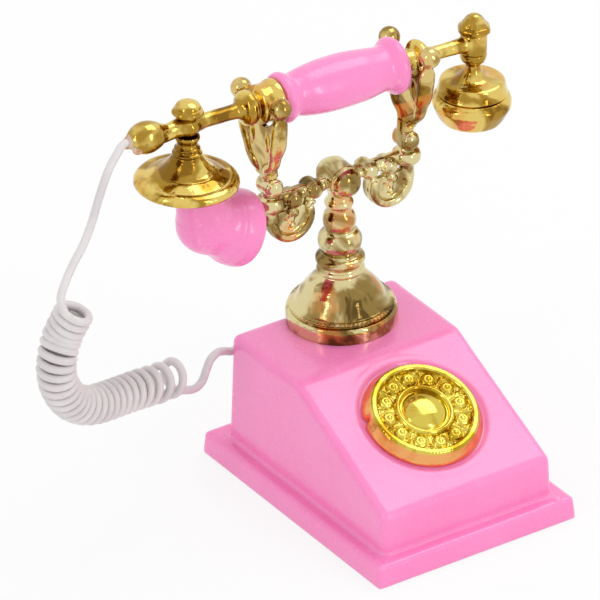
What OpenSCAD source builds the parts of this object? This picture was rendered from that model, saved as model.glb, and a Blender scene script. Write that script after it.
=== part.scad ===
// Doll-size cradle telephone: sloping pink base with a dial, gold pillar and
// two-forked cradle, and a barrel-grip handset on a coiled cord.
// Origin: centre of the plinth's underside. X runs along the handset, -Y is the dial side.

/* [Plinth and housing] */
// width of the plinth at its foot
plinth_w = 30; // [24:0.5:40]
// depth of the plinth at its foot
plinth_d = 41.2; // [34:0.1:52]
// height of the plinth step
plinth_h = 3.1; // [2:0.1:5]
// how far each plinth side leans in over its height
plinth_lean = 0.23; // [0:0.01:0.6]
// width of the housing at the plinth
housing_w = 25.8; // [22:0.1:28.5]
// distance of the front wall from the plinth's centre
housing_front = 18.4; // [16:0.1:20]
// distance of the back wall from the plinth's centre
housing_back = 17.8; // [16:0.1:20]
// height of the housing's flat top
housing_h = 18.4; // [14:0.1:24]
// height of the upright front wall below the slope
front_h = 8.7; // [6:0.1:11]
// place of the slope's top edge, from the plinth's centre
slope_top_y = 1.8; // [0:0.1:3]
// how far each housing side leans in over its height
side_lean = 0.5; // [0:0.05:1]
// how far the back wall leans in over its height
back_lean = 0.9; // [0:0.05:1.5]
// wall thickness of the moulding
wall = 1.2; // [0.8:0.05:1.8]
// radius of the moulded edges
edge_r = 0.9; // [0.3:0.05:1.5]
// thickness of the bottom cover
cover_t = 1; // [0.8:0.1:1.6]
// radius of the posts that hold the cover
post_r = 1.6; // [1.2:0.1:2.2]
// radius of the cover's pegs
peg_r = 0.75; // [0.5:0.05:1]

/* [Dial] */
// radius of the dial at its face
dial_r = 7.05; // [5.5:0.05:8]
// how much wider the dial is at its foot
dial_flare = 0.85; // [0:0.05:1]
// how far the dial's face stands above the slope
dial_t = 1.6; // [1:0.1:2.5]
// sideways place of the dial
dial_x = 0.4; // [-2:0.1:2]
// place of the dial above the middle of the slope
dial_up = 0.75; // [-1:0.05:2]
// depth of the round recess under the dial
recess_t = 0.3; // [0.2:0.05:0.5]
// radius of the dial's stem
stem_r = 1.4; // [1:0.1:2]
// number of finger rosettes
rosettes = 12; // [8:1:14]
// radius of the circle of rosettes
rosette_ring_r = 5; // [4.5:0.1:5.4]
// radius of one rosette
rosette_r = 0.85; // [0.5:0.05:1]

/* [Pillar] */
// sideways place of the pillar and cradle
stand_x = 1.4; // [-1:0.1:3]
// front-to-back place of the pillar and cradle
stand_y = 12.2; // [8:0.1:13]
// radius of the pillar's foot
foot_r = 7.2; // [6:0.1:8]
// height of the foot's upright rim
foot_h = 2.1; // [1.5:0.1:3]
// height of the pillar
pillar_h = 16.6; // [13:0.1:20]
// radius of the spigot that passes through the housing
spigot_r = 2; // [1.5:0.1:2.6]
// radius of the fixing screw's shank
screw_r = 0.75; // [0.5:0.05:1]

/* [Cradle] */
// height of the crossbar above the pillar
bar_up = 4.2; // [3:0.1:6]
// sideways distance from the pillar to each scroll's centre
scroll_x = 7.5; // [6:0.1:9]
// radius of each scroll's ring, to the middle of its rod
scroll_ring_r = 2.7; // [2:0.1:3]
// radius of the scroll's rod
scroll_rod_r = 0.75; // [0.5:0.05:1]
// radius of the crossbar's end posts
post_rod_r = 0.95; // [0.7:0.05:1.1]
// height of the end posts above the pillar
post_up = 7.6; // [6:0.1:9]
// sideways distance from the pillar to the left fork
left_fork_x = 11.2; // [10.4:0.1:12]
// sideways distance from the pillar to the right fork
right_fork_x = 10.8; // [10:0.1:12]
// how far the right fork's tips lean outwards
right_lean = 0.35; // [0:0.05:0.8]
// height of the fork's web notch above the end post
notch_up = 8.15; // [7:0.05:9]
// height of the fork's prong tips above the end post
prong_up = 11.6; // [10:0.1:13]
// how much higher the front tips stand than the back ones
prong_step = 1.2; // [0:0.1:1.6]
// half the distance between a fork's front and back prong
prong_y = 4.6; // [4.2:0.1:5]
// radius of the prongs
prong_r = 0.95; // [0.7:0.05:1.1]
// radius of the balls on the prongs
ball_r = 1.35; // [1:0.05:1.6]
// thickness of the fork's web
web_t = 1; // [0.6:0.1:1.4]

/* [Handset] */
// sideways place of the grip's middle, from the pillar
grip_dx = 0.2; // [-1:0.1:1]
// height of the grip's axis above the fork notches
axis_up = 2.1; // [1.8:0.05:2.6]
// how far the right end hangs lower than the left
tilt = 3; // [0:0.5:4]
// length of the grip
grip_l = 18.2; // [16:0.1:19]
// radius of the grip's barrel
grip_r = 3.5; // [3:0.1:4]
// radius of the tangs in the grip
tang_r = 1.2; // [0.8:0.1:1.6]
// length of the tangs in the grip
tang_l = 4; // [2:0.1:6]
// distance from the grip's middle to the transmitter post
left_u = 22.4; // [20:0.1:25]
// distance from the grip's middle to the receiver post
right_u = 20.7; // [19:0.1:23]
// radius of the handset's rods
rod_r = 0.95; // [0.7:0.05:1.1]
// distance from the transmitter post to the cord bulb
bulb_out = 6.5; // [6:0.1:9]
// radius of the cord bulb
bulb_r = 2.1; // [1.8:0.05:2.4]
// radius of the eyes on the two posts
eye_r = 1.75; // [1.5:0.05:2]
// half the height of the eyes
eye_h = 1.4; // [1:0.05:1.5]
// radius of the studs through the eyes
stud_r = 0.6; // [0.4:0.05:0.8]
// height of the studs above the eyes' middles
stud_top = 2.6; // [2.2:0.1:2.8]

/* [Transmitter and receiver] */
// radius of the transmitter bell
bell_r = 6.7; // [5.5:0.1:7.5]
// depth of the bell's lower edge below the handset's axis
bell_drop = 8.5; // [7:0.1:10]
// radius of the horn's mouth
mouth_r = 5; // [4.4:0.1:5.2]
// radius of the horn's round back
horn_r = 3.9; // [3:0.1:4.2]
// length from the horn's mouth to the middle of its round back
horn_l = 5.9; // [5:0.1:9]
// slope of the horn's axis
horn_dip = 22; // [0:1:35]
// radius of the horn's neck
neck_r = 2.4; // [2:0.1:3]
// radius of the receiver's drum
drum_r = 4.6; // [3.5:0.1:5]
// depth of the drum's lower edge below the handset's axis
drum_drop = 7.2; // [6:0.1:8]
// radius of the ear cap
cap_r = 5.1; // [4.5:0.1:6]
// height of the ear cap
cap_h = 3.8; // [2.4:0.1:4]

/* [Cord] */
// thickness of the cord's wire
cord_d = 1; // [0.8:0.05:1.2]
// outer diameter of the coiled stretch
coil_d = 5; // [4:0.1:6]

/* [Clearances] */
// gap round each fixed peg, stud and spigot
fit_gap = 0.03; // [0.01:0.01:0.1]
// gap round the dial's stem and under the dial
run_gap = 0.05; // [0.02:0.01:0.1]
// gap between the handset and the forks it lies in
seat_gap = 0.1; // [0.05:0.05:0.3]

/* [Hidden] */
$fn = 48;

pink = [0.96, 0.52, 0.78];
gold = [0.83, 0.66, 0.25];
ivory = [0.93, 0.91, 0.90];
steel = [0.6, 0.6, 0.62];

// The slope, and the dial's own frame on it.
slope_rise = (housing_h - front_h) / (slope_top_y + housing_front);
slope_angle = atan(slope_rise);
slope_mid_y = (slope_top_y - housing_front) / 2;
slope_mid_z = (housing_h + front_h) / 2;
dial_y = slope_mid_y + dial_up * cos(slope_angle);
dial_z = slope_mid_z + dial_up * sin(slope_angle);
dial_foot = -recess_t + run_gap;
retainer_t = wall * 2 / 3;
stem_l = 1.5 * wall + retainer_t;

// Heights of the stand, from the ground.
pillar_top = housing_h + pillar_h;
bar_z = pillar_top + bar_up;
bar_r = 0.84 * post_rod_r;
bar_axis_z = bar_z - bar_r / 8;
scroll_z = bar_z - scroll_ring_r - 0.75 * bar_r;
post_x = scroll_x + scroll_ring_r + bar_r / 8;
bar_reach = post_x + bar_r;
hub_r = 2.88 * bar_r;
hub_z = bar_z - bar_r / 4;
post_top = pillar_top + post_up;
notch_z = post_top + notch_up;
front_tip_z = post_top + prong_up + prong_step / 2;
back_tip_z = post_top + prong_up - prong_step / 2;
hub_spigot_r = spigot_r / 2;
hub_spigot_l = 1.4 * spigot_r;
fork_peg_r = post_rod_r / 1.9;
fork_peg_l = 1.5 * post_rod_r;
knee_y = 0.8 * prong_y;
knee_z = notch_z - 0.22 * notch_up;
low_y = 0.52 * prong_y;
low_z = post_top + 0.37 * notch_up;

// The handset's axis, and the necks that lie in the fork notches.
grip_x = stand_x + grip_dx;
axis_z = notch_z + axis_up;
left_seat_u = (left_fork_x + grip_dx) / cos(tilt);
right_seat_u = (right_fork_x - grip_dx) / cos(tilt);
left_neck_r = axis_up + left_seat_u * sin(tilt) - seat_gap;
right_neck_r = axis_up - right_seat_u * sin(tilt) - seat_gap;
half_grip = grip_l / 2;
bulb_u = left_u + bulb_out;
horn_u = -left_u + 1.45 * horn_l;
horn_w = -bell_drop - 1.46 * horn_l;
neck_u = -left_u + 0.24 * horn_l;
plug_t = bell_drop / 10.6;

// A point on the handset's axis, d outside the cord bulb's end.
function past_bulb(d) = [grip_x - (bulb_u + bulb_r + d) * cos(tilt), stand_y,
  axis_z + (bulb_u + bulb_r + d) * sin(tilt)];

// The cord: its lead from the handset, the middle line of its coil, and its tail to the base.
lead_points = [past_bulb(-0.9), past_bulb(1), [-31.5, 11.7, 53.8], [-33.1, 11.1, 52.5], [-34.3, 10.7, 50.8],
  [-35.5, 10.4, 48.5], [-36.7, 10, 46.2], [-38.3, 9.6, 43.8], [-40.2, 9, 42],
  [-42, 8.5, 40.8], [-43.1, 8.2, 39.3], [-43.3, 8.1, 37.9], [-43.05, 8.2, 36.9]];
coil_points = [[-41.3, 8.7, 35.4], [-42.6, 8.3, 32.8], [-43.6, 8, 30.4], [-43.8, 8, 27.6],
  [-42.8, 8.3, 24.7], [-40.8, 8.9, 22.1], [-38.1, 9.6, 20.5], [-35.9, 10.3, 19.8],
  [-33.6, 11, 19.3], [-29.9, 12, 18.6], [-26.3, 13.1, 17.7], [-23.4, 14, 17.1],
  [-21, 14.7, 16.6]];
tail_points = [[-20.3, 14.8, 14.6], [-19.4, 15.1, 13.8], [-18.5, 15.4, 13.5], [-17.6, 15.7, 13.9],
  [-16.9, 15.9, 15], [-16.1, 16.1, 16.2], [-14.9, 16.5, 16.6], [-13.1, 17.5, 15.8],
  [-11.6, 18.4, 14.8], [-10.2, 19.2, 14.3], [-8.8, 19.3, 14.2], [-7.7, 18.6, 14.2],
  [-7.4, 17.4, 14.2], [-7.4, 16.2, 14.2], [-7.4, 15.2, 14.2]];
tail_exit = tail_points[len(tail_points) - 1];
knot_r = cord_d;

// ---- helpers ----

function unit(v) = v / norm(v);

// Points of a round corner at b, between a and c.
function corner(a, b, c, r, n = 4) =
  let (
    u = unit(a - b),
    v = unit(c - b),
    half = acos(u * v) / 2,
    m = b + unit(u + v) * r / sin(half),
    s = b + u * r / tan(half) - m,
    e = b + v * r / tan(half) - m,
    turn = 180 - 2 * half,
    way = sign(s[0] * e[1] - s[1] * e[0])
  )
  [for (i = [0 : n]) let (t = way * turn * i / n)
    m + [s[0] * cos(t) - s[1] * sin(t), s[0] * sin(t) + s[1] * cos(t)]];

// An outline with every corner above the height z_min rounded.
function rounded(p, r, z_min) =
  [for (i = [0 : len(p) - 1])
    let (a = p[(i + len(p) - 1) % len(p)], b = p[i], c = p[(i + 1) % len(p)])
    each b[1] > z_min ? corner(a, b, c, r) : [b]];

// A profile drawn in millimetres, scaled across and along.
function fitted(p, kr, kz) = [for (q = p) [q[0] * kr, q[1] * kz]];

// A block with one outline seen from the side and one seen from the front.
module crossed(side, front) {
  intersection() {
    rotate([90, 0, 90])
      linear_extrude(3 * plinth_w, center = true)
        polygon(side);
    rotate([90, 0, 0])
      linear_extrude(3 * plinth_d, center = true)
        polygon(front);
  }
}

// A round rod between two points.
module rod(a, b, r) {
  d = b - a;
  translate(a)
    rotate([0, acos(d[2] / norm(d)), atan2(d[1], d[0])])
      cylinder(h = norm(d), r = r);
}

// A turned piece about the Z axis, from [radius, height] points.
module turned(points) {
  rotate_extrude()
    polygon(points);
}

// The same about the handset's axis, from [radius, place along it] points.
module turned_x(points) {
  rotate([0, 90, 0])
    turned(points);
}

// A tube swept along points, with its sides set by a reference direction.
module swept(points, r, sides, ref) {
  last = len(points) - 1;
  rings = [for (i = [0 : last])
    let (
      t = unit(points[min(i + 1, last)] - points[max(i - 1, 0)]),
      s = unit(cross(ref, t)),
      b = cross(t, s)
    )
    each [for (k = [0 : sides - 1])
      points[i] + r * (s * cos(360 * k / sides) + b * sin(360 * k / sides))]];
  walls = [for (i = [0 : last - 1], k = [0 : sides - 1])
    let (n = (k + 1) % sides)
    each [[i * sides + k, (i + 1) * sides + k, i * sides + n],
      [i * sides + n, (i + 1) * sides + k, (i + 1) * sides + n]]];
  polyhedron(rings, concat(walls,
    [[for (k = [0 : sides - 1]) k]],
    [[for (k = [sides - 1 : -1 : 0]) last * sides + k]]));
}

module on_slope() {
  translate([dial_x, dial_y, dial_z])
    rotate([slope_angle, 0, 0])
      children();
}

module on_pillar(z) {
  translate([stand_x, stand_y, z])
    children();
}

module on_handset(u = 0) {
  translate([grip_x, stand_y, axis_z])
    rotate([0, tilt, 0])
      translate([u, 0, 0])
        children();
}

// ---- base ----

// The housing's outlines, moved in by t.
function housing_side(t, foot) =
  let (drop = t * sqrt(1 + slope_rise * slope_rise))
  [[-housing_front + t, foot],
    [-housing_front + t, front_h + t * slope_rise - drop],
    [(housing_h - t + drop - front_h) / slope_rise - housing_front, housing_h - t],
    [housing_back - back_lean - t, housing_h - t],
    [housing_back - t, foot]];

function housing_face(t, foot) =
  let (half = housing_w / 2 - t)
  [[-half, foot], [-half + side_lean, housing_h - t], [half - side_lean, housing_h - t], [half, foot]];

function plinth_outline(size, t, foot, top) =
  [[-size / 2 + t, foot], [-size / 2 + plinth_lean + t, top],
    [size / 2 - plinth_lean - t, top], [size / 2 - t, foot]];

post_place_x = housing_w / 2 - 0.6 * wall - post_r;
post_places = [for (x = [-1, 1], y = [-0.65 * housing_front, 0.67 * housing_back])
  [x * post_place_x, y]];
post_h = 0.27 * housing_h;

module base_housing() {
  color(pink)
    difference() {
      union() {
        difference() {
          union() {
            crossed(rounded(plinth_outline(plinth_d, 0, 0, plinth_h), edge_r / 2, plinth_h / 2),
              rounded(plinth_outline(plinth_w, 0, 0, plinth_h), edge_r / 2, plinth_h / 2));
            crossed(rounded(housing_side(0, cover_t), edge_r, plinth_h),
              rounded(housing_face(0, cover_t), edge_r, plinth_h));
          }
          crossed(housing_side(wall, -1), housing_face(wall, -1));
          crossed(plinth_outline(plinth_d, wall, -1, plinth_h - wall),
            plinth_outline(plinth_w, wall, -1, plinth_h - wall));
        }
        for (p = post_places)
          translate([p[0], p[1], cover_t])
            cylinder(h = post_h, r = post_r);
      }
      for (p = post_places)
        translate([p[0], p[1], 0])
          cylinder(h = cover_t + 0.6 * post_h, r = peg_r + fit_gap);
      on_slope() {
        translate([0, 0, -recess_t])
          cylinder(h = wall, r = dial_r * 19 / 18 + dial_flare);
        translate([0, 0, -3 * wall])
          cylinder(h = 4 * wall, r = stem_r + run_gap);
      }
      on_pillar(housing_h - 2 * wall)
        cylinder(h = 3 * wall, r = spigot_r + fit_gap);
      translate([tail_exit[0], housing_back - 3 * wall, tail_exit[2]])
        rotate([-90, 0, 0])
          cylinder(h = 4 * wall, r = cord_d / 2 + 2 * fit_gap);
    }
}

module base_cover() {
  color(pink) {
    translate([0, 0, cover_t / 2])
      cube([plinth_w - 2 * (wall + plinth_lean), plinth_d - 2 * (wall + plinth_lean), cover_t],
        center = true);
    for (p = post_places)
      translate([p[0], p[1], cover_t / 2])
        cylinder(h = (cover_t + post_h) / 2, r = peg_r);
  }
}

// ---- dial ----

module dial() {
  foot_edge = dial_r + dial_flare;
  dish_z = 0.78;
  color(gold)
    on_slope() {
      turned(concat([[0, dial_foot], [foot_edge, dial_foot], [foot_edge, dial_foot + 0.16 * dial_t]],
        fitted([[1, 0.91], [0.98, 1], [0.92, 1], [0.9, dish_z], [0.532, dish_z], [0.518, 1],
          [0.482, 1], [0.461, dish_z], [0.383, dish_z], [0.348, 0.97], [0.255, 1.09],
          [0.142, 1.17], [0, 1.19]], dial_r, dial_t)));
      for (i = [0 : rosettes - 1])
        rotate([0, 0, 360 * i / rosettes])
          translate([rosette_ring_r, 0, dish_z * dial_t]) {
            cylinder(h = 0.1 * dial_t, r = rosette_r);
            cylinder(h = 0.19 * dial_t, r = rosette_r / 2);
          }
      translate([0, 0, dial_foot - stem_l])
        cylinder(h = stem_l + 0.1, r = stem_r);
    }
}

module dial_retainer() {
  color(steel)
    on_slope()
      translate([0, 0, -wall - run_gap - retainer_t])
        difference() {
          cylinder(h = retainer_t, r = 1.93 * stem_r);
          translate([0, 0, -1])
            cylinder(h = retainer_t + 2, r = stem_r + fit_gap);
        }
}

// ---- pillar ----

module pillar() {
  kr = foot_r / 7.2;
  kz = pillar_h / 16.6;
  step = foot_h / 2.1;
  color(gold)
    on_pillar(housing_h)
      difference() {
        union() {
          turned(concat(fitted([[0, 0], [7.2, 0], [7.1, 1.9], [6.85, 2.1], [6.7, 2.15],
            [6.6, 2.5], [6.25, 2.7]], kr, step),
            fitted([[5.9, 3.1], [5.5, 3.6], [5, 4.1], [4.3, 4.9], [3.6, 5.8], [3.05, 6.7],
            [2.85, 7.1], [3, 7.35], [3.05, 7.7], [2.9, 8.1], [2.7, 8.4], [2.85, 8.7],
            [3.2, 9.1], [3.2, 9.6], [2.9, 9.95], [2.2, 10.2], [2.3, 10.5], [2.75, 11.1],
            [2.85, 11.7], [2.7, 12.3], [2.3, 12.8], [1.9, 13.1], [2, 13.4], [2.3, 13.9],
            [2.4, 14.6], [2.25, 15.3], [1.9, 15.9], [1.7, 16.6], [0, 16.6]], kr, kz)));
          translate([0, 0, -wall])
            cylinder(h = 2 * wall, r = spigot_r);
        }
        translate([0, 0, -2 * wall])
          cylinder(h = 2 * wall + 0.24 * pillar_h, r = screw_r + fit_gap);
        translate([0, 0, pillar_h - hub_spigot_l - 2 * fit_gap])
          cylinder(h = 2 * hub_spigot_l, r = hub_spigot_r + fit_gap);
      }
}

module pillar_screw() {
  head_r = 1.45 * spigot_r;
  head_t = wall * 2 / 3;
  color(steel)
    on_pillar(housing_h - wall - head_t)
      difference() {
        union() {
          cylinder(h = head_t, r = head_r);
          cylinder(h = head_t + wall + 0.18 * pillar_h, r = screw_r);
        }
        for (a = [0, 90])
          rotate([0, 0, a])
            translate([-head_r / 2, -head_t / 4, -head_t / 8])
              cube([head_r, head_t / 2, 0.56 * head_t]);
      }
}

// ---- cradle ----

// A turned barrel lying front to back, x to the side of the pillar.
module barrel(x, z, r, points) {
  translate([x, 0, z])
    rotate([90, 0, 0])
      turned(fitted(points, r, r));
}

module cradle_bar() {
  color(gold)
    on_pillar(0) {
      translate([0, 0, pillar_top])
        turned(concat([[0, -hub_spigot_l], [hub_spigot_r, -hub_spigot_l], [hub_spigot_r, 0]],
          fitted([[1.8, 0], [1.9, 0.5], [1.5, 1], [1.4, 1.8], [1.65, 2.6], [1.65, 4.2], [0, 4.2]],
            spigot_r / 2, bar_up / 4.2)));
      translate([0, 0, bar_axis_z])
        turned_x([[0, -bar_reach], [bar_r, -bar_reach], [bar_r, bar_reach], [0, bar_reach]]);
      barrel(0, hub_z, hub_r, [[0, -1.26], [0.42, -1.22], [0.7, -1.04], [0.78, -0.83], [0.96, -0.74],
        [1, -0.65], [1, 0.65], [0.96, 0.74], [0.78, 0.83], [0.7, 1.04], [0.42, 1.22], [0, 1.26]]);
      for (side = [-1, 1], b = [[0.56, 1.5, 0.2], [0.96, 1.43, 0.75]])
        barrel(side * b[0] * scroll_x, bar_axis_z - b[2] * bar_r, b[1] * bar_r,
          [[0, -1.5], [0.5, -1.42], [0.88, -1.15], [1, -0.8], [1, 0.8], [0.88, 1.15], [0.5, 1.42],
            [0, 1.5]]);
    }
}

// An end post with the scroll that curls in under the crossbar.
module end_post(side) {
  turn = 200;
  color(gold)
    on_pillar(0)
      difference() {
        union() {
          translate([side * post_x, 0, scroll_z])
            turned(fitted([[0, -0.03], [1.1, -0.03], [1.1, 0.24], [1.68, 0.28], [1.84, 0.34], [1.84, 0.6],
              [1.58, 0.63], [1, 0.64], [1, 1], [0, 1]], post_rod_r, post_top - scroll_z));
          barrel(side * post_x, post_top - 1.4 * post_rod_r, 1.4 * post_rod_r, [[0, -1.5],
            [0.5, -1.42], [0.85, -1.2], [1, -0.9], [1, 0.9], [0.85, 1.2], [0.5, 1.42], [0, 1.5]]);
          translate([side * scroll_x, 0, scroll_z]) {
            rotate([90, 0, side > 0 ? 0 : 180])
              rotate([0, 0, -turn])
                rotate_extrude(angle = turn)
                  translate([scroll_ring_r, 0])
                    circle(r = scroll_rod_r, $fn = 24);
            rotate([0, side * (90 + turn), 0])
              translate([0, 0, scroll_ring_r])
                sphere(r = scroll_rod_r * 4 / 3);
            rotate([90, 0, 0])
              linear_extrude(scroll_rod_r, center = true)
                intersection() {
                  circle(r = scroll_ring_r);
                  translate([0, -scroll_ring_r])
                    square([3 * scroll_ring_r, 2.9 * scroll_ring_r], center = true);
                }
            for (way = [-1, 1])
              translate([0, way * scroll_rod_r / 2, 0])
                sphere(r = 0.8 * scroll_rod_r);
          }
        }
        rod([side * (post_x - 3.75 * bar_r), 0, bar_axis_z],
          [side * (bar_reach + 2 * fit_gap), 0, bar_axis_z], bar_r + fit_gap);
        translate([side * post_x, 0, post_top - fork_peg_l - 2 * fit_gap])
          cylinder(h = 2 * fork_peg_l, r = fork_peg_r + fit_gap);
      }
}

module end_post_left() {
  end_post(-1);
}

module end_post_right() {
  end_post(1);
}

module prong(side, web_x, lean, front, tip_z) {
  low = [side * web_x, front * low_y, low_z];
  knee = [side * web_x, front * knee_y, knee_z];
  tip = [side * (web_x + lean), front * prong_y, tip_z];
  rod([side * post_x, 0, post_top + prong_r], low, 0.95 * prong_r);
  rod(low, knee, 0.9 * prong_r);
  rod(knee, tip, prong_r);
  translate(low)
    sphere(r = 1.1 * prong_r);
  translate(knee)
    sphere(r = 1.16 * prong_r);
  translate(tip)
    sphere(r = ball_r);
}

module fork(side, web_x, lean) {
  y = prong_y / 4.6;
  z = notch_up / 8.15;
  color(gold)
    on_pillar(0) {
      translate([side * post_x, 0, post_top]) {
        cylinder(h = 1.63 * prong_r, r = 1.16 * post_rod_r);
        translate([0, 0, -fork_peg_l])
          cylinder(h = 1.36 * fork_peg_l, r = fork_peg_r);
      }
      translate([side * web_x, 0, 0])
        rotate([90, 0, 90])
          linear_extrude(web_t, center = true)
            polygon([[-0.8 * y, post_top + 0.6 * z], [0.8 * y, post_top + 0.6 * z], [low_y, low_z],
              [knee_y, knee_z], [4.2 * y, notch_z + 1.6 * z], [3.1 * y, notch_z + 2.2 * z],
              [3 * y, notch_z + 1.4 * z], [1.9 * y, notch_z + 0.35 * z], [y, notch_z],
              [-y, notch_z], [-1.9 * y, notch_z + 0.35 * z], [-3 * y, notch_z + 1.4 * z],
              [-3.1 * y, notch_z + 2.2 * z], [-4.2 * y, notch_z + 1.6 * z], [-knee_y, knee_z],
              [-low_y, low_z]]);
      prong(side, web_x, lean, -1, front_tip_z);
      prong(side, web_x, lean, 1, back_tip_z);
    }
}

module fork_left() {
  fork(-1, left_fork_x, 0);
}

module fork_right() {
  fork(1, right_fork_x, right_lean);
}

// ---- handset ----

module handset_grip() {
  color(pink)
    on_handset()
      difference() {
        turned_x(fitted([[0, -9.1], [2.9, -9.1], [3.2, -8.9], [3.3, -8.4], [3.2, -7.9], [2.9, -7.3],
          [2.8, -6.8], [2.95, -6], [3.3, -3.6], [3.45, -1.8], [3.5, 0], [3.45, 1.8], [3.3, 3.6],
          [3.1, 5.9], [2.95, 6.7], [3.1, 7.1], [3.55, 7.6], [3.75, 8.2], [3.65, 8.8], [3.3, 9.1],
          [0, 9.1]], grip_r / 3.5, half_grip / 9.1));
        for (side = [-1, 1])
          rod([side * (half_grip - tang_l - 0.1), 0, 0], [side * (half_grip + 1), 0, 0],
            tang_r + fit_gap);
      }
}

// An eye with flat top and bottom, bored for a stud.
module eye() {
  difference() {
    intersection() {
      sphere(r = eye_r);
      cube([4 * eye_r, 4 * eye_r, 2 * eye_h], center = true);
    }
    children();
  }
}

module stud_bore() {
  translate([0, 0, -2 * eye_r])
    cylinder(h = 4 * eye_r, r = stud_r + fit_gap);
}

module left_arm() {
  inner = half_grip;
  seat = left_seat_u;
  k = rod_r / 0.95;
  color(gold)
    on_handset()
      difference() {
        union() {
          turned_x([[0, -inner + tang_l], [tang_r, -inner + tang_l], [tang_r, -inner], [2.6 * k, -inner],
            [2.85 * k, -inner - 0.3 * k], [2.8 * k, -inner - 0.7 * k],
            [left_neck_r, -seat + 0.75 * web_t], [left_neck_r, -seat - 0.75 * web_t],
            [1.6 * k, -seat - 1.1 * k], [1.6 * k, -seat - 1.3 * k], [2.1 * k, -seat - 1.5 * k],
            [2.3 * k, -seat - 1.9 * k], [2.3 * k, -seat - 2.5 * k], [2 * k, -seat - 2.9 * k],
            [1.2 * k, -seat - 3.3 * k], [rod_r, -seat - 3.9 * k], [rod_r, -left_u + 2.4 * k],
            [1.3 * k, -left_u + k], [1.3 * k, -left_u - k], [1.15 * k, -left_u - 2.2 * k],
            [0.85 * k, -left_u - 0.52 * bulb_out], [k, -left_u - 0.6 * bulb_out],
            [0.81 * bulb_r, -bulb_u + 0.57 * bulb_r], [bulb_r, -bulb_u],
            [0.86 * bulb_r, -bulb_u - 0.52 * bulb_r], [0.57 * bulb_r, -bulb_u - 0.83 * bulb_r],
            [0.38 * bulb_r, -bulb_u - bulb_r], [0, -bulb_u - bulb_r]]);
          translate([-left_u, 0, 0])
            eye();
        }
        translate([-left_u, 0, 0])
          stud_bore();
        rod([-bulb_u - 1.5 * bulb_r, 0, 0], [-bulb_u - 0.52 * bulb_r, 0, 0], cord_d / 2 + 2 * fit_gap);
        for (way = [-1, 1])
          translate([-left_u, 0, way * (eye_h + 0.5 * eye_r)])
            cube([1.5 * eye_r, 2.3 * eye_r, eye_r], center = true);
      }
}

module left_finial() {
  color(gold)
    on_handset(-left_u)
      difference() {
        translate([0, 0, eye_h])
          turned(fitted([[0, 0], [1.5, 0], [1.95, 0.3], [2, 0.7], [1.75, 1.2], [1.2, 1.75],
            [0.5, 2.05], [0, 2.1]], stud_r / 0.6, (stud_top - eye_h) / 1.2));
        cylinder(h = stud_top + 2 * fit_gap, r = stud_r + fit_gap);
      }
}

module transmitter_bell() {
  edge = -bell_drop;
  r = bell_r / 6.7;
  h = bell_drop / 8.5;
  color(gold)
    on_handset(-left_u)
      difference() {
        turned([[0, stud_top], [stud_r, stud_top], [stud_r, -eye_h], [1.5 * r, -eye_h],
          [1.6 * r, -1.9 * h], [1.35 * r, -2.2 * h], [1.7 * r, -2.6 * h], [1.75 * r, -2.9 * h],
          [1.5 * r, -3.2 * h], [1.85 * r, -3.6 * h], [1.9 * r, -4 * h], [2.4 * r, -4.8 * h],
          [2.9 * r, -5.5 * h], [3.5 * r, -6 * h], [4.5 * r, -6.7 * h], [5.4 * r, -7.1 * h],
          [6.1 * r, -7.4 * h], [6.55 * r, -7.7 * h], [bell_r, -8 * h], [6.55 * r, -8.35 * h],
          [6.2 * r, edge], [5.6 * r, edge], [5.2 * r, edge + plug_t], [0, edge + plug_t]]);
        translate([neck_u + left_u, 0, edge])
          cylinder(h = 2 * plug_t, r = neck_r + fit_gap);
      }
}

module mouthpiece_horn() {
  back_w = horn_w + horn_l * sin(horn_dip);
  round_back = [for (a = [0 : 15 : 90]) [horn_r * sin(a), -horn_l - horn_r * cos(a)]];
  r = mouth_r / 5;
  h = horn_l / 5.9;
  color(pink)
    on_handset() {
      translate([horn_u, 0, horn_w])
        rotate([0, 90 + horn_dip, 0])
          turned(concat(round_back,
            [[1.01 * horn_r, -3.6 * h], [1.05 * horn_r, -2.8 * h], [4.7 * r, -1.8 * h],
            [5 * r, -1.1 * h], [5 * r, -0.4 * h], [4.7 * r, 0], [4.2 * r, 0], [3.8 * r, -0.7 * h],
            [1.5 * r, -1.2 * h], [0, -1.3 * h]]));
      translate([neck_u, 0, back_w])
        cylinder(h = -bell_drop + 2 * plug_t - fit_gap - back_w, r = neck_r);
    }
}

module right_arm() {
  inner = half_grip;
  seat = right_seat_u;
  k = rod_r / 0.95;
  color(gold)
    on_handset()
      difference() {
        union() {
          turned_x([[0, inner - tang_l], [tang_r, inner - tang_l], [tang_r, inner], [2.5 * k, inner],
            [2.6 * k, inner + 0.3 * k], [2.3 * k, inner + 0.6 * k],
            [right_neck_r, seat - 0.7 * web_t], [right_neck_r, seat + 0.7 * web_t],
            [2 * k, seat + 0.9 * k], [2.45 * k, seat + 1.3 * k], [2.4 * k, seat + 1.8 * k],
            [1.9 * k, seat + 2.4 * k], [1.2 * k, seat + 3.1 * k], [rod_r, seat + 4 * k],
            [rod_r, right_u - 2 * k], [1.3 * k, right_u - 0.8 * k], [1.3 * k, right_u], [0, right_u]]);
          translate([right_u, 0, 0])
            eye();
        }
        translate([right_u, 0, 0])
          stud_bore();
        for (way = [-1, 1])
          translate([right_u, 0, way * (eye_h + 0.5 * eye_r)])
            cube([1.5 * eye_r, 2.3 * eye_r, eye_r], center = true);
      }
}

module right_finial() {
  color(gold)
    on_handset(right_u)
      difference() {
        translate([0, 0, eye_h])
          turned(fitted([[0, 0], [1.7, 0], [2, 0.4], [2.1, 0.9], [1.9, 1.4], [1.3, 2.3],
            [0.9, 2.6], [0, 2.7]], stud_r / 0.6, (stud_top - eye_h) / 1.2));
        cylinder(h = stud_top + 2 * fit_gap, r = stud_r + fit_gap);
      }
}

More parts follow.
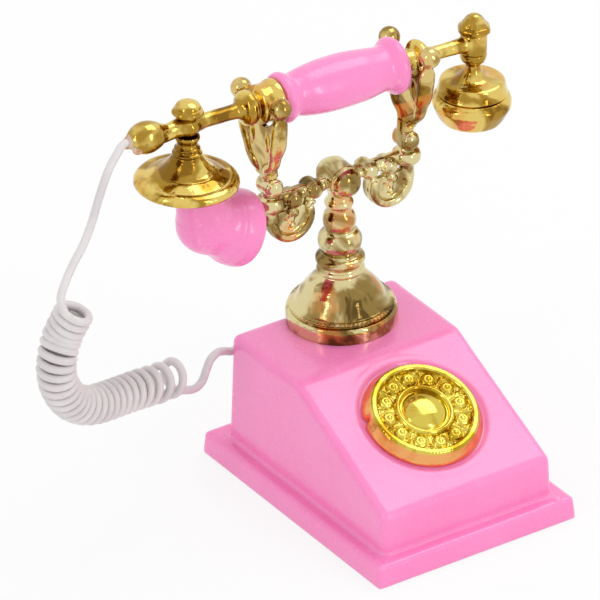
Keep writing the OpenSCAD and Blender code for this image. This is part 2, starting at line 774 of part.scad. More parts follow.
cap_spigot_r = 0.3 * cap_r;
cap_spigot_l = 0.44 * cap_h;

module receiver_drum() {
  edge = -drum_drop;
  r = drum_r / 4.6;
  h = drum_drop / 7.2;
  color(gold)
    on_handset(right_u)
      turned([[0, stud_top], [stud_r, stud_top], [stud_r, -eye_h], [1.7 * r, -eye_h],
        [1.7 * r, -1.9 * h], [1.5 * r, -2.6 * h], [1.1 * r, -2.9 * h], [0.95 * r, -3.3 * h],
        [1.1 * r, -3.8 * h], [1.5 * r, -4.5 * h], [2.1 * r, -5 * h], [3.9 * r, -5.2 * h],
        [4.2 * r, -5.4 * h], [4.35 * r, -6 * h], [drum_r, -6.8 * h], [4.4 * r, edge],
        [cap_spigot_r, edge], [cap_spigot_r, edge - cap_spigot_l],
        [0, edge - cap_spigot_l]]);
}

module receiver_cap() {
  top = -drum_drop;
  color(gold)
    on_handset(right_u)
      difference() {
        translate([0, 0, top])
          turned(fitted([[0, 0], [4.5, 0], [4.85, -0.35], [5.1, -1], [5.1, -1.6], [4.8, -2.4],
            [4.35, -3.2], [3.9, -3.8], [3.3, -3.8], [2.9, -3.3], [0, -3.1]], cap_r / 5.1, cap_h / 3.8));
        translate([0, 0, top - cap_spigot_l - 2 * fit_gap])
          cylinder(h = 2 * cap_spigot_l, r = cap_spigot_r + fit_gap);
      }
}

// ---- cord ----

coil_side = [0.28, 0.96, 0];

module cord_socket_bead() {
  color(ivory)
    on_handset(-bulb_u - bulb_r)
      rotate([0, -90, 0])
        turned([[cord_d / 2 + fit_gap, 0], [1.1 * cord_d, 0], [1.05 * cord_d, 0.4 * cord_d],
          [0.8 * cord_d, 0.7 * cord_d], [cord_d / 2 + fit_gap, 0.8 * cord_d]]);
}

module cord_lead() {
  color(ivory)
    swept(lead_points, cord_d / 2, 8, coil_side);
}

module cord_coil() {
  color(ivory)
    swept(coil_points, coil_d / 2, 12, coil_side);
}

module cord_tail() {
  color(ivory)
    swept(tail_points, cord_d / 2, 8, [0, 0, 1]);
}

module cord_knot() {
  color(ivory)
    translate(tail_exit - [0, knot_r + 0.02, 0])
      sphere(r = knot_r);
}

base_housing();
base_cover();
dial();
dial_retainer();
pillar();
pillar_screw();
cradle_bar();
end_post_left();
end_post_right();
fork_left();
fork_right();
handset_grip();
left_arm();
left_finial();
transmitter_bell();
mouthpiece_horn();
right_arm();
right_finial();
receiver_drum();
receiver_cap();
cord_socket_bead();
cord_lead();
cord_coil();
cord_tail();
cord_knot();
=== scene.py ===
import math

import bmesh
import bpy
from mathutils import Matrix, Vector, noise


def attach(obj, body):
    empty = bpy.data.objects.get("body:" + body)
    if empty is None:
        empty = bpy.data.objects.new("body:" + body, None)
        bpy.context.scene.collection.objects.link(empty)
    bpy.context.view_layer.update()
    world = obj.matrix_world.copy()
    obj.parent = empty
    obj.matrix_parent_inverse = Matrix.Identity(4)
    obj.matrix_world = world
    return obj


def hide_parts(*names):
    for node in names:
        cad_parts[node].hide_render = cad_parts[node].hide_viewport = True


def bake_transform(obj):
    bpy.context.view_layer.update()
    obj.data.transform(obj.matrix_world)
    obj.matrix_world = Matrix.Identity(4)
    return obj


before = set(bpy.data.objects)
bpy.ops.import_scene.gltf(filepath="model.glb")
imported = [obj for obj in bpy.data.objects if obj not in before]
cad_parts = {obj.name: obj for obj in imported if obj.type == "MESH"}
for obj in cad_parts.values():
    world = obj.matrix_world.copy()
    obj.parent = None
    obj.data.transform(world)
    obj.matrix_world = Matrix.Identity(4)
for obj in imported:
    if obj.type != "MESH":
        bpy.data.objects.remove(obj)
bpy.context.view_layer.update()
MM = 0.001
TAU = 2 * math.pi

# ---------------------------------------------------------------- camera
# Fitted to the corners of the plinth and the housing. TARGET, DISTANCE and FOCAL are in millimetres.
AZIMUTH, ELEVATION, ROLL = (math.radians(a) for a in (-32.448, 30.75, -1.557))
TARGET = Vector((-12.591, 0.0, 31.681))
DISTANCE = 1500.0
FOCAL = 717.4
flat = math.cos(ELEVATION)
back = Vector((math.sin(AZIMUTH) * flat, -math.cos(AZIMUTH) * flat, math.sin(ELEVATION)))
level = Vector((math.cos(AZIMUTH), math.sin(AZIMUTH), 0))
rise = back.cross(level)
right = level * math.cos(ROLL) + rise * math.sin(ROLL)
up = rise * math.cos(ROLL) - level * math.sin(ROLL)
camera = bpy.data.objects.new("camera", bpy.data.cameras.new("camera"))
camera.data.sensor_width = 36
camera.data.lens = FOCAL
camera.data.clip_start = 0.05
camera.data.clip_end = 20
turn = Matrix((right, up, back)).transposed().to_4x4()
camera.matrix_world = Matrix.Translation((TARGET + back * DISTANCE) * MM) @ turn
bpy.context.scene.collection.objects.link(camera)
bpy.context.scene.camera = camera


# ---------------------------------------------------------------- materials
def srgb(r, g, b):
    """A colour written as 0-255 sRGB, as Blender's linear values."""
    def one(c):
        c /= 255
        return c / 12.92 if c <= 0.04045 else ((c + 0.055) / 1.055) ** 2.4

    return (one(r), one(g), one(b), 1)


class Tree:
    """A node tree and short ways to add nodes to it."""

    def __init__(self, tree):
        self.tree = tree

    def put(self, socket, value):
        """Links value to the socket, or sets it there where it is a plain number or colour."""
        if isinstance(value, bpy.types.NodeSocket):
            self.tree.links.new(value, socket)
        else:
            socket.default_value = value

    def add(self, kind, **inputs):
        """A new node: the key _0 is its first input, and Base_Color its input called Base Color."""
        node = self.tree.nodes.new(kind)
        for key, value in inputs.items():
            socket = int(key[1:]) if key[0] == "_" else key.replace("_", " ")
            self.put(node.inputs[socket], value)
        return node

    def math(self, kind, a, b):
        node = self.add("ShaderNodeMath", _0=a, _1=b)
        node.operation = kind
        return node.outputs[0]

    def sees_background(self):
        """1 for the rays that see the plain background: the camera's, and those in metal and glass."""
        rays = self.add("ShaderNodeLightPath").outputs
        direct = self.math("MAXIMUM", rays["Is Camera Ray"], rays["Is Glossy Ray"])
        return self.math("MAXIMUM", direct, rays["Is Transmission Ray"])


class Finish(Tree):
    """A material with its shader, and the patterns that drive it."""

    def __init__(self, name):
        self.material = bpy.data.materials.new(name)
        self.material.use_nodes = True
        super().__init__(self.material.node_tree)
        self.shader = self.tree.nodes["Principled BSDF"]
        self.place = self.add("ShaderNodeTexCoord").outputs["Object"]

    def noise(self, scale, detail=3, roughness=0.5, distortion=0.0):
        node = self.add("ShaderNodeTexNoise", Vector=self.place, Scale=scale, Detail=detail,
                        Roughness=roughness, Distortion=distortion)
        return node.outputs["Fac"]

    def remap(self, value, a, b, c=0.0, d=1.0, soft=True):
        """Moves the span a to b onto c to d."""
        node = self.add("ShaderNodeMapRange", _0=value, _1=a, _2=b, _3=c, _4=d)
        node.interpolation_type = "SMOOTHSTEP" if soft else "LINEAR"
        return node.outputs[0]

    def mix(self, factor, a, b):
        node = self.tree.nodes.new("ShaderNodeMix")
        node.data_type = "RGBA"
        for index, value in ((0, factor), (6, a), (7, b)):
            self.put(node.inputs[index], value)
        return node.outputs[2]

    def tint(self, colour, where, share, other):
        """Brings other into the colour, by share where the pattern is 1."""
        return self.mix(self.math("MULTIPLY", where, share), colour, other)

    def edges(self):
        """About 0.5 on flat skin, more on outer edges, less in hollows."""
        return self.add("ShaderNodeNewGeometry").outputs["Pointiness"]

    def gloss(self, scale, detail, roughness, low, high):
        """Surface roughness that drifts between low and high."""
        return self.remap(self.noise(scale, detail, roughness), 0.3, 0.7, low, high, False)

    def bump(self, height, strength, distance):
        node = self.add("ShaderNodeBump", Height=height, Strength=strength, Distance=distance)
        self.put(self.shader.inputs["Normal"], node.outputs[0])

    def set(self, **values):
        for key, value in values.items():
            self.put(self.shader.inputs[key.replace("_", " ")], value)


def pink_material():
    n = Finish("pink_plastic")
    cloud = n.remap(n.noise(90, 3, 0.55), 0.35, 0.68)
    colour = n.mix(cloud, srgb(249, 135, 194), srgb(250, 140, 198))
    colour = n.tint(colour, n.remap(n.noise(2600, 2, 0.6), 0.66, 0.74), 0.06, srgb(238, 120, 180))
    # Paler pink on the outer edges.
    paler_edges = n.remap(n.edges(), 0.525, 0.58)
    colour = n.tint(colour, paler_edges, 0.35, srgb(254, 182, 216))
    n.set(Base_Color=colour, Roughness=n.gloss(420, 4, 0.6, 0.19, 0.31))
    n.set(IOR=1.5, Coat_Weight=0.35, Coat_Roughness=0.07, Subsurface_Weight=0.12, Subsurface_Scale=0.0012)
    n.set(Subsurface_Radius=(1.0, 0.45, 0.7))
    ripple = n.math("ADD", n.noise(330, 3, 0.5), n.math("MULTIPLY", n.noise(1900, 2, 0.5), 0.25))
    n.bump(ripple, 0.18, 0.00018)
    return n.material


def gold_material(name, pale, deep, dark, thin_tone, thin_share, ripple_strength=0.5):
    """Plating in pale, deep and dark blotches, partly uneven plating and partly painted reflections; another
    tone where it is thin; and brown painted shade in recesses.
    """
    n = Finish(name)
    # Blotches: partly uneven plating, partly painted reflections of darker surroundings.
    plating_and_reflection = n.noise(210, 3, 0.55, 0.6)
    colour = n.mix(n.remap(plating_and_reflection, 0.44, 0.57), pale, deep)
    colour = n.tint(colour, n.remap(plating_and_reflection, 0.6, 0.65), 0.75, dark)
    colour = n.tint(colour, n.remap(n.noise(150, 2, 0.5, 1.2), 0.56, 0.68), thin_share, thin_tone)
    # Painted shade: recesses, where pointiness is low, turn brown.
    painted_hollow_shade = n.remap(n.edges(), 0.38, 0.48, 1.0, 0.0)
    colour = n.tint(colour, painted_hollow_shade, 0.8, srgb(158, 98, 24))
    pinhole = n.remap(n.noise(1300, 2, 0.5), 0.70, 0.77)
    colour = n.tint(colour, pinhole, 0.45, srgb(86, 56, 20))
    n.set(Base_Color=colour, Metallic=1.0, Roughness=n.gloss(520, 3, 0.6, 0.06, 0.16))
    ripple = n.math("ADD", n.noise(260, 2, 0.5), n.math("MULTIPLY", n.noise(900, 3, 0.55), 0.22))
    n.bump(ripple, ripple_strength, 0.00055)
    return n.material


def cord_material():
    n = Finish("cord_white")
    cloud = n.remap(n.noise(160, 3, 0.5), 0.35, 0.65)
    colour = n.mix(cloud, srgb(224, 219, 218), srgb(214, 208, 209))
    colour = n.tint(colour, n.remap(n.noise(1500, 2, 0.5), 0.68, 0.76), 0.25, srgb(186, 178, 178))
    n.set(Base_Color=colour, Roughness=n.gloss(700, 2, 0.5, 0.34, 0.5))
    n.set(IOR=1.48, Subsurface_Weight=0.05, Subsurface_Scale=0.0005)
    n.bump(n.noise(1400, 3, 0.5), 0.12, 0.0001)
    return n.material


def glue_material():
    n = Finish("glue")
    colour = n.mix(n.remap(n.noise(700, 3, 0.5), 0.35, 0.65), srgb(214, 190, 168), srgb(196, 140, 92))
    n.set(Base_Color=colour, Roughness=n.gloss(900, 2, 0.5, 0.16, 0.3))
    n.set(IOR=1.47, Subsurface_Weight=0.5, Subsurface_Scale=0.001)
    n.bump(n.noise(1100, 2, 0.5), 0.3, 0.00015)
    return n.material


def steel_material():
    n = Finish("steel")
    colour = n.mix(n.noise(800, 3, 0.5), srgb(150, 150, 154), srgb(186, 186, 190))
    n.set(Base_Color=colour, Metallic=1.0, Roughness=n.gloss(1500, 3, 0.6, 0.25, 0.45))
    n.bump(n.noise(2400, 2, 0.5), 0.15, 0.0001)
    return n.material


PINK = pink_material()
GOLD = gold_material("plated_gold", srgb(226, 198, 108), srgb(168, 132, 50), srgb(122, 86, 24),
                     srgb(214, 134, 52), 0.4)
PALE = gold_material("plated_gold_pale", srgb(218, 204, 152), srgb(146, 120, 66), srgb(72, 54, 26),
                     srgb(222, 146, 80), 0.5)
WARM = gold_material("plated_gold_warm", srgb(216, 190, 122), srgb(150, 116, 48), srgb(104, 70, 20),
                     srgb(222, 140, 62), 0.6)
DIAL = gold_material("plated_gold_dial", srgb(216, 196, 86), srgb(182, 152, 42), srgb(150, 112, 20),
                     srgb(204, 146, 48), 0.3, 0.2)
WALL = gold_material("plated_copper", srgb(238, 168, 104), srgb(230, 150, 86), srgb(204, 112, 56),
                     srgb(222, 190, 110), 0.3)
CORD = cord_material()
GLUE = glue_material()
STEEL = steel_material()


# ---------------------------------------------------------------- mesh helpers (in millimetres)
def between(a, b, t):
    """Smooth step of t from a to b."""
    t = min(max((t - a) / (b - a), 0), 1)
    return t * t * (3 - 2 * t)


def mean(p, q, a, b, s):
    """The value at s on the straight line from p at a to q at b."""
    return p * ((b - s) / (b - a)) + q * ((s - a) / (b - a))


def on_circle(r, a, z):
    return Vector((r * math.cos(a), r * math.sin(a), z))


def spline(points, steps):
    """Centripetal Catmull-Rom curve through points, with as many steps from each to the next."""
    points = [Vector(p) for p in points]
    out = []
    ends = [points[0] * 2 - points[1]] + points + [points[-1] * 2 - points[-2]]
    for i in range(1, len(ends) - 2):
        p = ends[i - 1 : i + 3]
        t = [0.0]
        for j in range(3):
            t.append(t[-1] + max((p[j + 1] - p[j]).length, 1e-6) ** 0.5)
        for k in range(steps):
            s = t[1] + (t[2] - t[1]) * k / steps
            a = [mean(p[j], p[j + 1], t[j], t[j + 1], s) for j in range(3)]
            b = [mean(a[j], a[j + 1], t[j], t[j + 2], s) for j in range(2)]
            out.append(mean(b[0], b[1], t[1], t[2], s))
    return out + [points[-1]]


def profile(points, steps=5):
    """A turned outline of (radius, height) points; a third value marks a sharp corner."""
    runs, run = [], []
    for p in points:
        run.append((max(p[0], 0.0), p[1], 0))
        if len(p) > 2 and len(run) > 1:
            runs.append(run)
            run = [run[-1]]
    if len(run) > 1:
        runs.append(run)
    out = []
    for run in runs:
        made = spline(run, steps) if len(run) > 2 else [Vector(run[0]), Vector(run[1])]
        out += made if not out else made[1:]
    return [(max(p[0], 0.0), p[1]) for p in out]


def lathe(bm, points, sides=64, matrix=Matrix(), wave=None):
    """Adds a turned solid about Z; wave(radius, height, angle) may move the radius."""
    rings = []
    for r, z in points:
        if r < 1e-5:
            rings.append([bm.verts.new(matrix @ Vector((0, 0, z)))])
            continue
        ring = []
        for k in range(sides):
            a = TAU * k / sides
            q = r + (wave(r, z, a) if wave else 0)
            ring.append(bm.verts.new(matrix @ on_circle(q, a, z)))
        rings.append(ring)
    for low, high in zip(rings, rings[1:]):
        for k in range(sides):
            m = (k + 1) % sides
            face = [low[k % len(low)], low[m % len(low)], high[m % len(high)], high[k % len(high)]]
            face = [v for i, v in enumerate(face) if v not in face[:i]]
            if len(face) > 2:
                bm.faces.new(face)
    for ring, flip in ((rings[0], True), (rings[-1], False)):
        if len(ring) > 2:
            bm.faces.new(ring[::-1] if flip else ring)


def tube(bm, points, radii, sides=16, reference=None, matrix=Matrix()):
    """Adds a closed tube along points; each radius may be a pair: along the reference, and across it."""
    points = [Vector(p) for p in points]
    last = len(points) - 1
    radii = radii if isinstance(radii, list) else [radii] * (last + 1)
    radii = [q if isinstance(q, tuple) else (q, q) for q in radii]
    tangent = (points[1] - points[0]).normalized()
    side = Vector(reference or ((0, 0, 1) if abs(tangent.z) < 0.9 else (1, 0, 0)))
    rings = []
    for i, p in enumerate(points):
        t = (points[min(i + 1, last)] - points[max(i - 1, 0)]).normalized()
        side = (side - t * side.dot(t)).normalized()
        other = t.cross(side)
        ring = []
        for a in (TAU * k / sides for k in range(sides)):
            at = p + side * radii[i][0] * math.cos(a) + other * radii[i][1] * math.sin(a)
            ring.append(bm.verts.new(matrix @ at))
        rings.append(ring)
    for low, high in zip(rings, rings[1:]):
        for k in range(sides):
            m = (k + 1) % sides
            bm.faces.new([low[k], low[m], high[m], high[k]])
    bm.faces.new(rings[0][::-1])
    bm.faces.new(rings[-1])


def ball(bm, centre, radius, stretch=(1, 1, 1), matrix=Matrix()):
    """Adds a ball, stretched along each axis."""
    place = matrix @ Matrix.Translation(centre) @ Matrix.Diagonal((*[radius * s for s in stretch], 1))
    bmesh.ops.create_uvsphere(bm, u_segments=32, v_segments=20, radius=1, matrix=place)


def moved(bm, matrix):
    bmesh.ops.transform(bm, matrix=matrix, verts=bm.verts)


def plate(bm, outline, thickness, matrix=Matrix()):
    """Adds a flat plate: outline in its own XY, thick along Z."""
    low = [bm.verts.new(matrix @ Vector((x, y, -thickness / 2))) for x, y in outline]
    high = [bm.verts.new(matrix @ Vector((x, y, thickness / 2))) for x, y in outline]
    bm.faces.new(low[::-1])
    bm.faces.new(high)
    for k in range(len(outline)):
        m = (k + 1) % len(outline)
        bm.faces.new([low[k], low[m], high[m], high[k]])


def solid(bm, name, material, body, nodes, voxel=None, soften=0, move=None, sharp=40):
    """Makes the piece from bm, in metres. It rides on the body and stands for the nodes, where given.

    voxel joins its lumps into one skin of that fineness, and soften smooths the skin so often.
    move(point) shifts the points. Without voxel, edges beyond the angle sharp stay sharp.
    """
    bmesh.ops.recalc_face_normals(bm, faces=bm.faces)
    mesh = bpy.data.meshes.new(name)
    bm.to_mesh(mesh)
    bm.free()
    piece = bpy.data.objects.new(name, mesh)
    bpy.context.scene.collection.objects.link(piece)
    if voxel:
        remesh = piece.modifiers.new("skin", "REMESH")
        remesh.mode = "VOXEL"
        remesh.voxel_size = voxel
        if soften:
            smooth = piece.modifiers.new("soften", "SMOOTH")
            smooth.factor = 0.5
            smooth.iterations = soften
        made = bpy.data.meshes.new_from_object(piece.evaluated_get(bpy.context.evaluated_depsgraph_get()))
        piece.modifiers.clear()
        piece.data = made
        bpy.data.meshes.remove(mesh)
        made.name = name
    mesh = piece.data
    for v in mesh.vertices:
        v.co = (move(v.co) if move else v.co) * MM
    mesh.materials.clear()
    mesh.materials.append(material)
    mesh.polygons.foreach_set("use_smooth", [True] * len(mesh.polygons))
    if not voxel:
        mesh.set_sharp_from_angle(angle=math.radians(sharp))
    mesh.update()
    if body:
        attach(piece, body)
    if nodes:
        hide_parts(*nodes)
    return piece


# ---------------------------------------------------------------- places shared with the solids
STAND = Vector((1.4, 12.2, 0))  # axis of the pillar
TOP_Z = 18.4  # top of the housing
BAR_Z = 39.2  # axis of the crossbar
POST_X = 10.3  # end posts, to each side of the pillar
POST_TOP = 42.6
SCROLL_X, SCROLL_Z = 7.5, 35.9
HAND = Matrix.Translation((1.6, 12.2, 52.85)) @ Matrix.Rotation(math.radians(3), 4, "Y")
SIDEWAYS = Matrix.Rotation(math.radians(90), 4, "Y")
ALONG = HAND @ SIDEWAYS  # turned pieces that lie along the handset
SLOPE = math.radians(25.65)
DIAL_AT = Matrix.Translation((0.4, -7.624, 13.875)) @ Matrix.Rotation(SLOPE, 4, "X")

# ---------------------------------------------------------------- cord
LEAD = [(-29.6, 12.2, 54.5), (-30.4, 12.1, 54.45), (-31.5, 11.7, 53.8), (-33.1, 11.1, 52.5),
        (-34.3, 10.7, 50.8), (-35.5, 10.4, 48.5), (-36.7, 10.0, 46.2), (-38.3, 9.6, 43.8),
        (-40.2, 9.0, 42.0), (-42.0, 8.2, 40.2), (-43.1, 7.5, 38.6)]
MIDDLE = [(-41.7, 7.6, 35.3), (-42.6, 8.3, 32.8), (-43.6, 8.0, 30.4), (-43.8, 8.0, 27.6),
          (-42.8, 8.3, 24.7), (-40.8, 8.9, 22.1), (-38.1, 9.6, 20.5), (-35.9, 10.3, 19.8),
          (-33.6, 11.0, 19.3), (-29.9, 12.0, 18.6), (-26.3, 13.1, 17.7), (-23.4, 14.0, 17.1),
          (-21.6, 14.5, 16.7)]
TAIL = [(-19.6, 14.9, 13.7), (-18.5, 15.4, 13.5), (-17.6, 15.7, 13.9), (-16.9, 15.9, 15.0),
        (-16.1, 16.1, 16.2), (-14.9, 16.5, 16.6), (-13.1, 17.5, 15.8), (-11.6, 18.4, 14.8),
        (-10.2, 19.2, 14.3), (-8.8, 19.3, 14.2), (-7.7, 18.6, 14.2), (-7.4, 17.4, 14.2), (-7.4, 16.2, 14.2),
        (-7.4, 15.4, 14.2)]
WIRE = 0.54  # radius of the wire
COIL = 2.08  # radius of a turn, to the middle of the wire
TURNS = 28
FIRST_TURN = 1.4  # how far before MIDDLE the turns start
CORD_STEP = 0.34


def spaced(points, step):
    """Points every step along a fine polyline."""
    out, left = [points[0]], step
    for a, b in zip(points, points[1:]):
        length = (b - a).length
        done = 0.0
        while length - done >= left:
            done += left
            out.append(a.lerp(b, done / length))
            left = step
        left -= length - done
    return out


def coil_points():
    """The coiled wire, round the line MIDDLE: its turns open towards the base, and the last closes up."""
    line = spline(MIDDLE, 24)
    before = line[0] - (line[1] - line[0]).normalized() * FIRST_TURN
    line = spaced([before] + line, 0.05)
    side = Vector((-0.96, -0.28, 0))
    count = len(line) - 1
    weights = []
    for i in range(count + 1):
        s = i / count
        rate = 1.0 - 0.14 * between(0.3, 0.5, s) - 0.42 * between(0.68, 0.9, s)
        rate *= 1.0 - 0.5 * between(0.985, 1.0, s)
        weights.append(rate)
    total = sum(weights)
    phase, out = 0.0, []
    for i in range(count + 1):
        t = (line[min(i + 1, count)] - line[max(i - 1, 0)]).normalized()
        side = (side - t * side.dot(t)).normalized()
        other = t.cross(side)
        angle = -TAU * TURNS * phase / total
        wobble = 1 + 0.02 * noise.noise(Vector((i * 0.02, 0.3, 0.7)))
        out.append(line[i] + COIL * wobble * (side * math.cos(angle) + other * math.sin(angle)))
        phase += weights[i]
    return out


coil = coil_points()
lead = spline(LEAD + [coil[0]], 8)[:-1]
tail = spline([coil[-1]] + TAIL, 6)[1:]
whole = lead + coil[::3] + tail
whole = spaced(spline(whole, 2), CORD_STEP)
cord_length = sum((b - a).length for a, b in zip(whole, whole[1:]))
bm = bmesh.new()
tube(bm, whole, WIRE, 12, (0, 1, 0))
cord = solid(bm, "cord", CORD, None, [])
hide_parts("cord_lead", "cord_coil", "cord_tail")
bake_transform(cord)
print("cord length", round(cord_length, 1))

# ---------------------------------------------------------------- base
PLINTH = [(-20.6, 0.0), (-20.37, 3.1), (20.37, 3.1), (20.6, 0.0)]
HOUSING = [(-18.4, 1.0), (-18.4, 8.7), (1.8, 18.4), (16.9, 18.4), (17.8, 1.0)]
MOULD_MARK = Vector((12.6, -19.6, 3.1))


def prism(bm, outline, half, edge, segments):
    """A block from a side outline (y, z), as wide as half(z) says, with rounded edges."""
    part = bmesh.new()
    left = [part.verts.new((-half(z), y, z)) for y, z in outline]
    right_side = [part.verts.new((half(z), y, z)) for y, z in outline]
    part.faces.new(left)
    part.faces.new(right_side[::-1])
    for k in range(len(outline)):
        m = (k + 1) % len(outline)
        part.faces.new([left[m], left[k], right_side[k], right_side[m]])
    bmesh.ops.recalc_face_normals(part, faces=part.faces)
    top = [e for e in part.edges if max(v.co.z for v in e.verts) > outline[0][1] + 1e-4]
    bmesh.ops.bevel(part, geom=top, offset=edge, segments=segments, profile=0.5, affect="EDGES")
    mesh = bpy.data.meshes.new("part")
    part.to_mesh(mesh)
    part.free()
    bm.from_mesh(mesh)
    bpy.data.meshes.remove(mesh)


bm = bmesh.new()
prism(bm, PLINTH, lambda z: 15 - 0.23 * z / 3.1, edge=0.55, segments=4)
prism(bm, HOUSING, lambda z: 12.9 - 0.5 * (z - 1) / 17.4, edge=0.95, segments=5)


def base_move(p):
    """The shallow ring round the dial, a mould mark on the plinth, and slow moulding waves."""
    q = DIAL_AT.inverted() @ p
    if abs(q.z) < 1.2:
        radius = math.hypot(q.x, q.y)
        if radius < 10.5:
            sunk = 0.30 * (1 - between(8.1, 8.6, radius))
            down = sunk - 0.07 * math.exp(-(((radius - 9.1) / 0.45) ** 2))
            p = p - DIAL_AT.to_3x3() @ Vector((0, 0, down))
    mark = (p - MOULD_MARK).length
    p = p + Vector((0, -0.3, 0.3)) * math.exp(-((mark / 0.4) ** 2))
    wave = noise.noise(p * 0.12) * 0.05 if p.z > 0.6 else 0
    return p + Vector((wave, wave, wave)) * 0.6


solid(bm, "base_shell", PINK, "base", ["base_housing"], voxel=0.24, soften=4,
      move=base_move)

# ---------------------------------------------------------------- dial
RIM = 7.05
WALL_RINGS = [(7.12, 1.36), (7.2, 1.2), (7.42, 0.85), (7.62, 0.5), (7.78, 0.2), (7.88, 0.0), (7.9, -0.12),
              (7.84, -0.24)]
NOTCH_ANGLE = math.radians(165)
DIAL_SIDES = 300
ROSETTES, ROSETTE_TURN = 12, math.radians(23)


def dial_height(r, a):
    """Height of the dial's face: its rim, the ring round the button, the button, and the rosettes."""
    h = 1.02
    if r > 6.0:  # rim
        h += 0.52 * between(6.0, 6.3, r) + 0.12 * (1 - ((r - 6.62) / 0.5) ** 2) - 0.12 * between(6.9, 7.05, r)
        h += 0.03 * math.cos(96 * a) * math.exp(-(((r - 6.9) / 0.12) ** 2))
    if 3.0 < r < 4.1:  # ring
        h += 0.56 * max(0.0, 1 - ((r - 3.52) / 0.42) ** 2) ** 0.6
    if r < 2.85:  # button
        h += 0.92 * max(0.0, 1 - (r / 2.85) ** 2) ** 0.6
    if 3.9 < r < 6.2:  # rosettes
        step = TAU / ROSETTES
        k = round((a - ROSETTE_TURN) / step)
        off = a - ROSETTE_TURN - k * step
        x, y = r * math.cos(off) - 4.98, r * math.sin(off)
        d, b = math.hypot(x, y), math.atan2(y, x)
        h -= 0.12 * math.exp(-(((d - 1.06) / 0.14) ** 2))
        if d < 0.98:
            petal = 0.24 * (0.5 - 0.5 * math.cos(6 * b + k)) * between(0.3, 0.75, d)
            dome = 0.5 * (1 - (d / 0.98) ** 2) ** 0.6 * (1 - petal)
            h += dome - 0.14 * math.exp(-(((d - 0.38) / 0.1) ** 2))
        half = step / 2 - abs(off)
        h += 0.24 * math.exp(-((half * r / 0.12) ** 2)) * between(5.0, 5.5, r)
    return h


def dial_piece():
    bm = bmesh.new()
    sides = DIAL_SIDES
    angles = [TAU * k / sides for k in range(sides)]
    centre = bm.verts.new((0, 0, dial_height(0, 0)))
    rings = []
    for r in [i * 0.1 for i in range(1, 71)] + [RIM]:
        rings.append([bm.verts.new(on_circle(r, a, dial_height(r, a))) for a in angles])
    for r, z in WALL_RINGS:
        ring = []
        for a in angles:
            dent = 0.5 * math.exp(-(((a - NOTCH_ANGLE) * 7.8 / 0.45) ** 2)) * (1 - between(0.2, 0.9, z))
            q = r - dent + 0.03 * noise.noise(Vector((math.cos(a) * 3, math.sin(a) * 3, z * 2)))
            ring.append(bm.verts.new(on_circle(q, a, z)))
        rings.append(ring)
    for k in range(sides):
        bm.faces.new([centre, rings[0][k], rings[0][(k + 1) % sides]])
    for low, high in zip(rings, rings[1:]):
        for k in range(sides):
            m = (k + 1) % sides
            bm.faces.new([low[k], high[k], high[m], low[m]])
    bm.faces.new(rings[-1][::-1])
    lathe(bm, [(0, -2.85), (1.25, -2.85), (1.4, -2.7), (1.4, -0.24)], 40)
    moved(bm, DIAL_AT)
    return bm


dial = solid(dial_piece(), "dial_plate", DIAL, "dial", ["dial"], sharp=60)
dial.data.materials.append(WALL)
for face in dial.data.polygons:  # the wall below the rim has the copper tone
    q = DIAL_AT.inverted() @ (face.center / MM)
    if math.hypot(q.x, q.y) > 7.13:
        face.material_index = 1

# ---------------------------------------------------------------- pillar
PILLAR = [(0, 0, 1), (7.15, 0, 1), (7.2, 0.12), (7.2, 0.9), (7.14, 1.7), (6.95, 2.05), (6.6, 2.12),
          (6.5, 2.2), (6.62, 2.35), (6.66, 2.55), (6.5, 2.75), (6.25, 2.82), (6.05, 3.0), (5.8, 3.4),
          (5.47, 3.95), (5.1, 4.5), (4.55, 5.2), (3.95, 5.9), (3.36, 6.55), (3.02, 6.95), (2.92, 7.1),
          (3.06, 7.28), (3.1, 7.5), (3.02, 7.75), (2.8, 7.95), (2.76, 8.2), (2.9, 8.4), (3.14, 8.62),
          (3.2, 8.95), (3.12, 9.3), (2.85, 9.5), (2.5, 9.7), (2.36, 9.95), (2.5, 10.3), (2.74, 10.9),
          (2.83, 11.6), (2.74, 12.2), (2.4, 12.75), (2.0, 13.05), (1.9, 13.25), (2.0, 13.6), (2.12, 14.1),
          (2.16, 14.6), (2.1, 15.1), (1.9, 15.6), (1.68, 15.95), (1.62, 16.2), (1.68, 16.6, 1), (0, 16.6)]
BEADS = 68  # round the pillar's foot
PILLAR_SIDES = 6 * BEADS


def pillar_wave(r, z, a):
    """The row of beads round the foot, and a slow unevenness."""
    beads = 0.14 * abs(math.sin(BEADS / 2 * a)) * math.exp(-(((z - 2.5) / 0.25) ** 2))
    return beads + 0.03 * noise.noise(Vector((math.cos(a) * r * 0.5, math.sin(a) * r * 0.5, z * 0.6)))


bm = bmesh.new()
lathe(bm, profile(PILLAR, steps=4), sides=PILLAR_SIDES,
      matrix=Matrix.Translation((STAND.x, STAND.y, TOP_Z)), wave=pillar_wave)
solid(bm, "pillar_turned", PALE, "base", ["pillar"], sharp=50)

# ---------------------------------------------------------------- cradle
AT_STAND = Matrix.Translation((STAND.x, STAND.y, 0))
TO_FRONT = Matrix.Rotation(math.radians(90), 4, "X")
HUB = [(0, -1.42), (0.45, -1.36), (0.7, -1.2), (0.83, -0.96), (0.88, -0.84), (0.97, -0.76), (1, -0.64),
       (0.985, 0), (1, 0.64), (0.97, 0.76), (0.88, 0.84), (0.83, 0.96), (0.7, 1.2), (0.45, 1.36), (0, 1.42)]
BARREL = [(0, -1.5), (0.5, -1.42), (0.8, -1.18), (0.86, -1.0), (0.98, -0.9), (1, -0.75), (0.97, 0),
          (1, 0.75), (0.98, 0.9), (0.86, 1.0), (0.8, 1.18), (0.5, 1.42), (0, 1.5)]


def barrel(bm, x, z, radius, points):
    """Adds a turned barrel lying front to back."""
    place = AT_STAND @ Matrix.Translation((x, 0, z)) @ TO_FRONT
    lathe(bm, [(q * radius, h * radius) for q, h in profile(points, 4)], 48, place)


